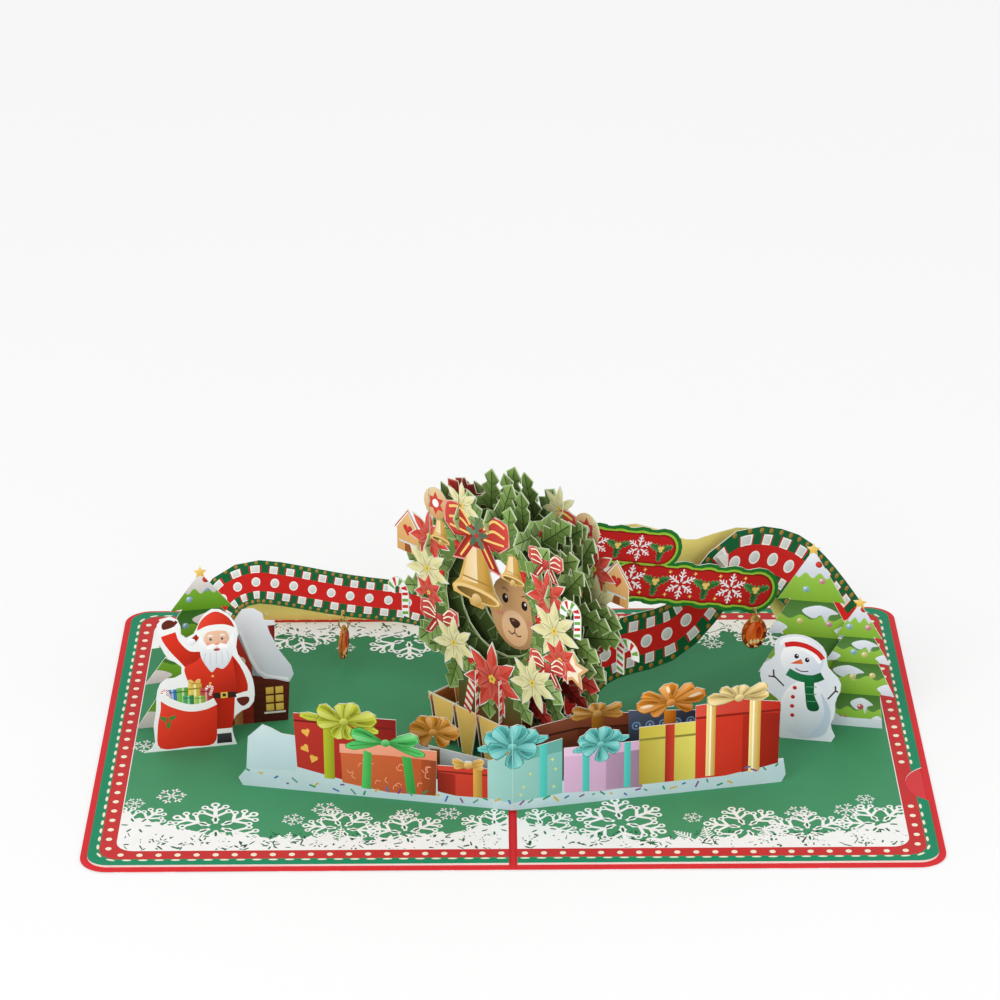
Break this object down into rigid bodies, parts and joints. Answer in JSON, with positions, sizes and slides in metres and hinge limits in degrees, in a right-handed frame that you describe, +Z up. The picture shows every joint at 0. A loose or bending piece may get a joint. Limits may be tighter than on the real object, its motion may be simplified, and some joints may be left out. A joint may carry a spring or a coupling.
{
  "type": "pop-up card",
  "caption": "Open pop-up Christmas card with rows of gifts, a sliced-paper wreath on a pot, ribbon banners, paper figures and trees, hanging charms and a note in a pocket.",
  "frame": {"origin": "centre of the cover's underside, with the card lying open", "axes": "+X to the right along the open width, +Y away from the reader, +Z up"},
  "size_m": [0.302, 0.2, 0.1142],
  "materials": {
    "cover_board": "coated card, printed both sides",
    "page_card": "coated card, printed",
    "note_paper": "uncoated writing paper",
    "printed_card": "coated card, die cut and printed",
    "yellow_card": "coated card, die cut",
    "gold_cord": "gold metallic cord",
    "charm_film": "glossy laminated board"
  },
  "bodies": {
    "card": {"backing_left": "yellow_card", "backing_right": "yellow_card", "banner_left": "printed_card", "banner_right": "printed_card", "cover": "cover_board", "gift_strip_back": "printed_card", "gift_strip_front": "printed_card", "house": "printed_card", "left_page": "page_card", "plaque": "printed_card", "plaque_link_left": "printed_card", "plaque_link_right": "printed_card", "pot_cross_1": "printed_card", "pot_cross_2": "printed_card", "pot_cross_3": "printed_card", "pot_cross_4": "printed_card", "pot_cross_5": "printed_card", "right_page": "page_card", "santa": "printed_card", "santa_link": "printed_card", "snowman": "printed_card", "snowman_link": "printed_card", "tree_left": "printed_card", "tree_short": "printed_card", "tree_tall": "printed_card", "wreath_back": "printed_card", "wreath_fourth": "printed_card", "wreath_front": "printed_card", "wreath_link_1": "printed_card", "wreath_link_2": "printed_card", "wreath_link_3": "printed_card", "wreath_link_4": "printed_card", "wreath_link_5": "printed_card", "wreath_middle": "printed_card", "wreath_second": "printed_card"},
    "note": {"note_card": "note_paper"},
    "left_charm": {"charm_left": "charm_film", "loop_left_upper": "gold_cord", "loop_left_lower": "gold_cord"},
    "right_charm": {"charm_right": "charm_film", "loop_right": "gold_cord"}
  },
  "joints": [
    {"name": "note_slide", "type": "slide", "parent": "card", "child": "note", "axis": [1, 0, 0], "range_m": [0, 0.12]},
    {"name": "left_charm_swing", "type": "hinge", "parent": "card", "child": "left_charm", "pos_m": [-0.06368, 0.05312, 0.02329], "axis": [0.309, 0.9511, 0], "range_deg": [-35, 35]},
    {"name": "right_charm_swing", "type": "hinge", "parent": "card", "child": "right_charm", "pos_m": [0.09131, 0.03013, 0.03505], "axis": [-0.309, 0.9511, 0], "range_deg": [-35, 35]}
  ]
}
